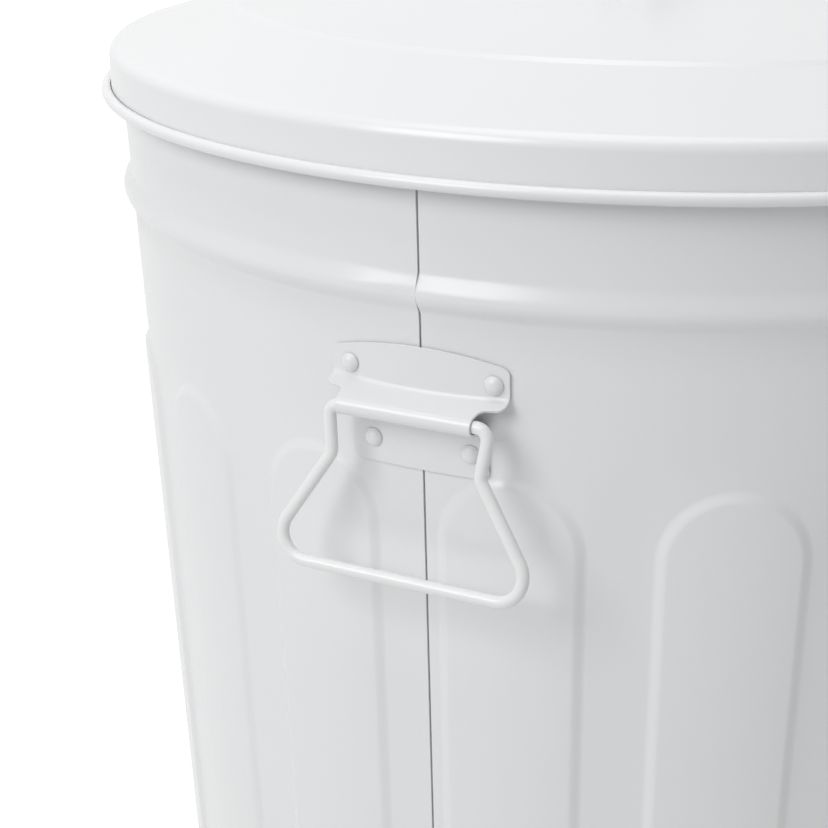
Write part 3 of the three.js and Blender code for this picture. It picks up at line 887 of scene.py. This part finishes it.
@dataclass
class Bracket:
    """Stamped plate, drawn at +X: skirt, tunnel round the wire, ramp with ears, and flange."""

    plate: float = 0.8
    gap: float = 0.35
    wire: float = 2.25
    pivot_z: float = 487.7
    standoff: float = 9.8
    narrow_half: float = 25.3       # half width where the ramp leaves the tunnel
    skirt_half: float = 25.9
    skirt_fillet: float = 2.8
    skirt_side: float = 12.0
    skirt_bottom: float = 464.8
    ramp_top: float = 493.3
    ramp_bow: float = 1.2
    web_bend: float = 1.6
    ramp_bend: float = 2.8
    ear_half: float = 33.4
    offset: float = -1.0
    ear_reach: float = 4.3
    ear_root: tuple[float, float] = (26.0, 2.8)     # half width and fillet under the ear
    ear_tip: tuple[float, float] = (0.8, 2.6)       # lean and fillet of the ear's lower corner
    ear_steps: int = 7
    corner: float = 3.0
    crown: float = 509.5
    arch: float = 3.6
    edge: float = 0.26
    columns: int = 56
    web_from: float = 4.0           # the web's bend is laid from this far under the tunnel
    web_steps: int = 8
    tunnel_steps: int = 20
    widen_steps: int = 6            # tunnel rows over which the plate narrows to the tunnel
    bend_steps: int = 8
    flange_steps: int = 8
    corner_steps: int = 7
    corner_from: float = 0.8        # share of the flange where its corners start

    @property
    def middle(self) -> float:
        """Distance of the plate's middle from what it lies on."""
        return self.gap + self.plate / 2

    @property
    def pivot_radius(self) -> float:
        """Distance of the wire's centre from the can's axis."""
        return WALL.radius_at(self.pivot_z) + self.standoff

    @property
    def tube(self) -> float:
        """Radius of the plate's middle round the wire."""
        return self.wire + self.middle

    @property
    def low(self) -> float:
        """Height of the tunnel's underside."""
        return self.pivot_z - self.tube

    def wall_x(self, y: float, z: float) -> float:
        """Return how far out the plate's middle lies against the wall."""
        return math.sqrt((WALL.radius_at(z) + self.middle) ** 2 - y * y)

    def ramp(self, y: float) -> tuple[Vector, Vector, float]:
        """Return the ramp's foot on the wall, where it meets the tunnel, and its angle there."""
        share = y / self.ear_half
        top = self.ramp_top + self.ramp_bow * share * share
        foot = Vector((self.wall_x(y, top), top))
        reach = Vector((self.pivot_radius, self.pivot_z)) - foot
        slope = math.atan2(reach.y, reach.x) + math.asin(self.tube / reach.length)
        run = math.sqrt(reach.length ** 2 - self.tube ** 2)
        meet = foot + Vector((math.cos(slope), math.sin(slope))) * run
        return foot, meet, 90 + math.degrees(slope)

    def skirt_outline(self) -> list[Station]:
        """Lay the skirt's outline as (height above its lower edge, half width)."""
        return bent_line([(0.0, 0.0), (0.0, self.skirt_half, self.skirt_fillet, 6),
                          (self.skirt_side, self.skirt_half)])[1:]

    def ramp_outline(self) -> list[Station]:
        """Lay the ramp's outline, with its ears, as (length from the tunnel, half width)."""
        foot, meet, _ = self.ramp(0.0)
        lean, tip_fillet = self.ear_tip
        return bent_line([(0.0, self.narrow_half), (self.ear_reach, *self.ear_root, self.ear_steps),
                          (self.ear_reach + lean, self.ear_half, tip_fillet, self.ear_steps),
                          ((foot - meet).length, self.ear_half)])

    def rows(self) -> list[tuple[str, float, float]]:
        """List the plate's rows, each as its part, its share of that part and its half width."""
        height = self.low - self.skirt_bottom
        rows = [("skirt", s.a / height, s.b) for s in self.skirt_outline()]
        rows += [("web", i / self.web_steps, self.skirt_half) for i in range(self.web_steps + 1)]
        for i in range(self.tunnel_steps + 1):
            blend = smooth_step(i / self.widen_steps)
            half = self.skirt_half + (self.narrow_half - self.skirt_half) * blend
            rows.append(("tunnel", i / self.tunnel_steps, half))
        ramp = self.ramp_outline()
        rows += [("ramp", s.a / ramp[-1].a, s.b) for s in ramp[1:-1]]
        rows += [("bend", i / self.bend_steps, self.ear_half) for i in range(self.bend_steps + 1)]
        rows += [("flange", i / self.flange_steps, self.ear_half)
                 for i in range(1, self.flange_steps - 1)]
        for i in range(1, self.corner_steps + 1):
            turn = math.pi / 2 * i / self.corner_steps
            share = self.corner_from + (1 - self.corner_from) * math.sin(turn)
            rows.append(("flange", share, self.ear_half - self.corner * (1 - math.cos(turn))))
        return rows

    def place(self, part: str, share: float, y: float) -> Vector:
        """Return where a row of the plate lies, at a distance y from its middle.

        Args:
            part: part of the plate that the row belongs to.
            share: the row's share of that part.
            y: distance from the plate's middle.

        Returns:
            The place in millimetres.
        """
        low = self.low
        foot, meet, top_angle = self.ramp(y)
        if part == "skirt":
            z = self.skirt_bottom + share * (low - self.skirt_bottom)
            return Vector((self.wall_x(y, z), y, z))
        if part == "web":
            x = self.wall_x(y, low)
            line = bent_line([(x, low - self.web_from),
                              (x, low, self.web_bend, self.web_steps - 1),
                              (self.pivot_radius, low)])
            station = line[round(share * self.web_steps)]
            return Vector((station.a, y, station.b))
        if part == "tunnel":
            angle = math.radians(-90 + (90 + top_angle) * share)
            return Vector((self.pivot_radius + self.tube * math.cos(angle), y,
                           self.pivot_z + self.tube * math.sin(angle)))
        top = self.crown - self.arch * (y / (self.ear_half - self.corner)) ** 2
        line = bent_line([(meet.x, meet.y), (foot.x, foot.y, self.ramp_bend, self.bend_steps),
                          (self.wall_x(y, top), top)])
        if part == "ramp":
            start, stop = (Vector((s.a, s.b)) for s in line[:2])
            along = share * (foot - meet).length / (stop - start).length
            spot = start.lerp(stop, min(1.0, along))
            return Vector((spot.x, y, spot.y))
        if part == "bend":
            station = line[1 + round(share * self.bend_steps)]
            return Vector((station.a, y, station.b))
        z = line[-2].b + share * (top - line[-2].b)
        return Vector((self.wall_x(y, z), y, z))

    def build(self, finishes: Finishes) -> list[bpy.types.Object]:
        """Bend a grid to the plate's form, thicken it and soften its edges."""
        rows = self.rows()
        last = len(rows) - 1
        Bench.clear()
        bpy.ops.mesh.primitive_grid_add(x_subdivisions=self.columns, y_subdivisions=last, size=2)
        blank = Bench.named("bracket_right")
        for vertex in blank.data.vertices:
            part, share, half = rows[round((vertex.co.y + 1) / 2 * last)]
            vertex.co = self.place(part, share, vertex.co.x * half + self.offset) * MM
        Bench.apply(blank, "SOLIDIFY", thickness=self.plate * MM, offset=0.0,
                    use_even_offset=False)
        Bench.edit()
        Bench.leave()
        Bench.soften(blank, self.edge, degrees=60.0)
        Bench.smooth(blank)
        return place_pair(blank, "bracket_{side}", "handle_bracket_{side}", "can", Slot.HARDWARE,
                          finishes)


def place_pair(right: bpy.types.Object, name: str, node: str, body: str, slot: Slot,
               finishes: Finishes) -> list[bpy.types.Object]:
    """Copy a piece drawn at +X to the other side, and let both take their CAD node's place.

    Args:
        right: the piece at +X.
        name: name of the pieces, with {side} where left or right goes.
        node: name of the CAD nodes, in the same way.
        body: body that carries them, in the same way.
        slot: material slot.
        finishes: finishes of the can.

    Returns:
        The two pieces.
    """
    left = Bench.copy(right, name.format(side="left"), SIDES["left"])
    for piece, side in ((left, "left"), (right, "right")):
        finishes.dress(piece, slot)
        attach(piece, body.format(side=side))
        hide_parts(node.format(side=side))
    return [left, right]


@dataclass
class Bail:
    """Wire bail in its bracket, hanging at its lean."""

    bracket: Bracket = field(default_factory=Bracket)
    lean: float = 7.9
    leg_half: float = 30.2
    knee: tuple[float, float] = (28.0, 17.3)
    bar: tuple[float, float] = (53.8, 57.8)
    pivot_fillet: float = 4.0
    knee_fillet: float = 5.5
    bar_fillet: float = 9.5
    butt: float = 1.0
    sides: int = 24
    steps: int = 10

    def corners(self) -> list[tuple[float, float, float]]:
        """Return the wire's corners as (across, down, fillet), from one butted end to the other."""
        knee, bar = self.knee, self.bar
        half = [(self.leg_half, 0.0, self.pivot_fillet), (knee[0], -knee[1], self.knee_fillet),
                (bar[0], -bar[1], self.bar_fillet)]
        other = [(-a, b, fillet) for a, b, fillet in reversed(half)]
        return [(self.butt / 2, 0.0, 0.0), *half, *other, (-self.butt / 2, 0.0, 0.0)]

    def wire(self) -> bpy.types.Object:
        """Extrude the wire's section along the straights and spin it round the bends."""
        corners = self.corners()
        places = [Vector((0.0, across, down)) for across, down, _ in corners]
        turns = [2 * math.pi * i / self.sides for i in range(self.sides)]
        radius = self.bracket.wire
        section = [(radius * math.cos(turn), radius * math.sin(turn)) for turn in turns]
        here = places[0]
        piece = Bench.ring("bail_right", section, turned=Matrix.Translation(here * MM))
        Bench.edit()
        for i in range(1, len(places) - 1):
            place, fillet = places[i], corners[i][2]
            come = (place - places[i - 1]).normalized()
            leave = (places[i + 1] - place).normalized()
            turn = math.atan2(come.y * leave.z - come.z * leave.y, come.dot(leave))
            cut = fillet * math.tan(abs(turn) / 2)
            start = place - come * cut
            side = Vector((0.0, -come.z, come.y)) * math.copysign(fillet, turn)
            self.draw(start - here)
            bpy.ops.mesh.spin(steps=self.steps, angle=-turn, center=(start + side) * MM,
                              axis=(1, 0, 0))
            here = place + leave * cut
        self.draw(places[-1] - here)
        Bench.weld()
        bpy.ops.mesh.select_all(action="SELECT")
        bpy.ops.mesh.fill_holes(sides=0)
        Bench.leave()
        return piece

    @staticmethod
    def draw(way: Vector) -> None:
        """Extrude the selected end of the wire by a way in millimetres."""
        bpy.ops.mesh.extrude_region_move(TRANSFORM_OT_translate={"value": way * MM})

    def build(self, finishes: Finishes) -> list[bpy.types.Object]:
        """Bend the wire and hang it in its bracket."""
        piece = self.wire()
        pivot = Vector((self.bracket.pivot_radius, 0.0, self.bracket.pivot_z)) * MM
        lean = Matrix.Rotation(-math.radians(self.lean), 4, "Y")
        piece.data.transform(Matrix.Translation(pivot) @ lean)
        Bench.smooth(piece)
        return place_pair(piece, "bail_{side}", "bail_{side}", "bail_{side}", Slot.WIRE, finishes)


@dataclass
class Rivets:
    """Domed rivets with upset tails, in the brackets and the lid's strap."""

    bracket: Bracket = field(default_factory=Bracket)
    strap: StrapHandle = field(default_factory=StrapHandle)
    head: tuple[float, float] = (3.4, 1.9)
    shank: float = 2.0
    tail: tuple[float, float] = (3.0, 1.2)
    upper: tuple[float, float] = (27.0, 499.7)
    lower: tuple[float, float] = (18.4, 473.7)
    strap_place: tuple[float, float] = (57.0, 6.0)
    dome_powers: tuple[float, float] = (2.6, 0.8)
    dome_steps: int = 10
    tail_dome: tuple[float, float] = (0.7, 0.8)     # shares of the tail's radius and height
    flats: int = 32

    def rivet(self, grip: float) -> bpy.types.Object:
        """Spin one rivet with the underside of its head at the origin."""
        radius, height = self.head
        flatness, fullness = self.dome_powers
        outline = []
        for i in range(self.dome_steps + 1):
            share = i / self.dome_steps
            outline.append((radius * share, height * (1 - share ** flatness) ** fullness))
        tail, depth = self.tail
        bent, sunk = self.tail_dome
        outline += [(self.shank, 0.0), (self.shank, -grip), (tail, -grip),
                    (tail * bent, -grip - depth * sunk), (0.0, -grip - depth)]
        piece = Bench.spun("rivet", outline, self.flats)
        Bench.smooth(piece, degrees=50.0)
        return piece

    def set_all(self, pattern: bpy.types.Object, places: dict[str, Matrix], body: str,
                finishes: Finishes) -> list[bpy.types.Object]:
        """Copy a rivet to every place, and remove the pattern.

        Args:
            pattern: the rivet to copy.
            places: matrix of each rivet, in metres, by the name of its CAD node.
            body: body that carries them.
            finishes: finishes of the can.

        Returns:
            The rivets.
        """
        pieces = []
        for node, matrix in places.items():
            piece = Bench.copy(pattern, f"{node}_dome", matrix)
            finishes.dress(piece, Slot.HARDWARE)
            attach(piece, body)
            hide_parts(node)
            pieces.append(piece)
        bpy.data.meshes.remove(pattern.data)
        return pieces

    def build(self, finishes: Finishes) -> list[bpy.types.Object]:
        """Set the brackets' rivets and the strap's rivets."""
        plate, gap = self.bracket.plate, self.bracket.gap
        grip = plate + WALL.sheet + 3 * gap
        pieces = self.set_all(self.rivet(grip), self.wall_places(plate + 2 * gap), "can", finishes)
        along, across = self.strap_place
        spots = [(sx * along, sy * across) for sx in (-1, 1) for sy in (-1, 1)]
        top = self.strap.foot_z() + gap
        places = {f"lid_handle_rivet_{i + 1}": Matrix.Translation(Vector((*spot, top)) * MM)
                  for i, spot in enumerate(spots)}
        grip = self.strap.thickness + WALL.sheet + 3 * gap
        return pieces + self.set_all(self.rivet(grip), places, "lid", finishes)

    def wall_places(self, lift: float) -> dict[str, Matrix]:
        """Return the brackets' rivets' matrices, their heads lifted off the wall, by node."""
        spots = [(sign * y, z) for y, z in (self.upper, self.lower) for sign in (-1, 1)]
        upright = Matrix.Rotation(math.pi / 2 + math.atan(WALL.taper), 4, "Y")
        lifted = Matrix.Translation(Vector((0, 0, lift)) * MM)
        places = {}
        for side, turned in SIDES.items():
            for i, (y, z) in enumerate(spots):
                radius = WALL.radius_at(z)
                stand = (Matrix.Rotation(y / radius, 4, "Z")
                         @ Matrix.Translation(Vector((radius, 0, z)) * MM) @ upright @ lifted)
                places[f"bracket_rivet_{side}_{i + 1}"] = turned @ stand
        return places


def dress_rim_wire(finishes: Finishes) -> None:
    """Dress the wire in the rolled rim, a CAD node that stays."""
    finishes.dress(bpy.data.objects["rim_wire"], Slot.ZINC)


# ---- studio --------------------------------------------------------------------------------------


@dataclass(frozen=True)
class SoftBox:
    """A soft square lamp that looks at a point. Places and sizes in metres, power in watts."""

    name: str
    place: tuple[float, float, float]
    target: tuple[float, float, float]
    size: float
    power: float

    def hang(self) -> None:
        """Add the lamp to the scene."""
        data = bpy.data.lights.new(self.name, "AREA")
        data.shape = "SQUARE"
        data.size = self.size
        data.energy = self.power
        lamp = bpy.data.objects.new(self.name, data)
        lamp.location = self.place
        lamp.rotation_mode = "QUATERNION"
        aim = Vector(self.target) - Vector(self.place)
        lamp.rotation_quaternion = aim.to_track_quat("-Z", "Y")
        bpy.context.scene.collection.objects.link(lamp)


@dataclass
class Studio:
    """Pale floor and backdrop, soft lamps, and the camera at the photograph's place."""

    azimuth: float = 0.479
    elevation: float = 0.352
    roll: float = -0.003
    shift: tuple[float, float] = (-104.1, -142.5)
    distance: float = 778.0
    focal_pixels: float = 1835.8
    picture_pixels: float = 828.0
    sensor: float = 36.0
    clipping: tuple[float, float] = (0.01, 50.0)
    world_strength: float = 0.37
    floor_size: float = 30.0
    floor_grey: float = 0.86
    near_lift: float = 0.38
    far_lift: float = 0.69
    lift_reach: tuple[float, float] = (0.4, 3.0)
    key: SoftBox = SoftBox("key_softbox", (-1.9, 0.75, 1.7), (-0.15, 0.0, 0.45), 1.15, 20.5)
    top: SoftBox = SoftBox("top_softbox", (-0.3, 0.1, 2.6), (0.0, 0.0, 0.6), 1.8, 20.0)

    def camera(self) -> bpy.types.Object:
        """Stand the camera before the left bail, where the photograph was taken from."""
        turn = Matrix.Rotation(-math.pi / 2, 3, "Z")
        back = turn @ Vector((math.sin(self.azimuth) * math.cos(self.elevation),
                              -math.cos(self.azimuth) * math.cos(self.elevation),
                              math.sin(self.elevation)))
        right = turn @ Vector((math.cos(self.azimuth), math.sin(self.azimuth), 0.0))
        up = back.cross(right)
        place = back * self.distance + right * self.shift[0] + up * self.shift[1]
        place += Vector((0, 0, WALL.lid_line))
        data = bpy.data.cameras.new("camera")
        data.sensor_width = self.sensor
        data.lens = self.focal_pixels / self.picture_pixels * self.sensor
        data.clip_start, data.clip_end = self.clipping
        camera = bpy.data.objects.new("camera", data)
        camera.rotation_mode = "QUATERNION"
        level = Matrix((right, up, back)).transposed().to_quaternion()
        camera.rotation_quaternion = level @ Quaternion((0, 0, 1), self.roll)
        camera.location = place * MM
        bpy.context.scene.collection.objects.link(camera)
        bpy.context.scene.camera = camera
        return camera

    def floor(self) -> None:
        """Lay a pale floor, seen as white but lifted less near the can, to keep its shadow."""
        Bench.clear()
        bpy.ops.mesh.primitive_plane_add(size=self.floor_size)
        floor = Bench.named("studio_floor")
        material = bpy.data.materials.new("studio_white")
        graph = Graph.fresh(material)
        grey = (self.floor_grey, self.floor_grey, self.floor_grey, 1.0)
        shader = graph.add("ShaderNodeBsdfDiffuse", Color=grey)
        away = graph.add("ShaderNodeVectorMath", {"operation": "LENGTH"}, Vector=graph.place())
        lift = graph.spread(away.outputs["Value"], self.near_lift, self.far_lift, self.lift_reach)
        glow = graph.add("ShaderNodeEmission", Color=(1, 1, 1, 1),
                         Strength=graph.maths("MULTIPLY", graph.seen(), lift))
        both = graph.add("ShaderNodeAddShader")
        graph.feed(both.inputs[0], shader.outputs["BSDF"])
        graph.feed(both.inputs[1], glow.outputs["Emission"])
        graph.surface(both.outputs["Shader"])
        floor.data.materials.append(material)

    def world(self) -> None:
        """Light the room evenly, and show plain white to the camera and in reflections."""
        world = bpy.data.worlds.new("studio_world")
        bpy.context.scene.world = world
        graph = Graph.fresh(world)
        strength = graph.spread(graph.seen(), self.world_strength, 1.0)
        shader = graph.add("ShaderNodeBackground", Color=(1, 1, 1, 1), Strength=strength)
        graph.surface(shader.outputs["Background"], "ShaderNodeOutputWorld")

    def build(self) -> None:
        """Set the whole studio."""
        self.camera()
        self.world()
        self.floor()
        self.key.hang()
        self.top.hang()
        bpy.context.scene.view_settings.view_transform = "Standard"


# ---- everything ----------------------------------------------------------------------------------


def corners(box: tuple[Vector, Vector]) -> list[list[float]]:
    """Write a box as plain lists."""
    return [[float(x) for x in corner] for corner in box]


def main() -> None:
    """Load the frame, build every sub-assembly in order and report it."""
    logging.basicConfig(level=logging.INFO, format="%(name)s: %(message)s")
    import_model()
    finishes = Finishes()
    finishes.build()
    Studio().build()
    for part in (WallHalf(), BottomPan(), Lid(), StrapHandle(), Bracket(), Bail(), Rivets()):
        for piece in part.build(finishes):
            LOG.info("%s: %d faces", piece.name, len(piece.data.polygons))
    dress_rim_wire(finishes)


if __name__ == "__main__":
    main()
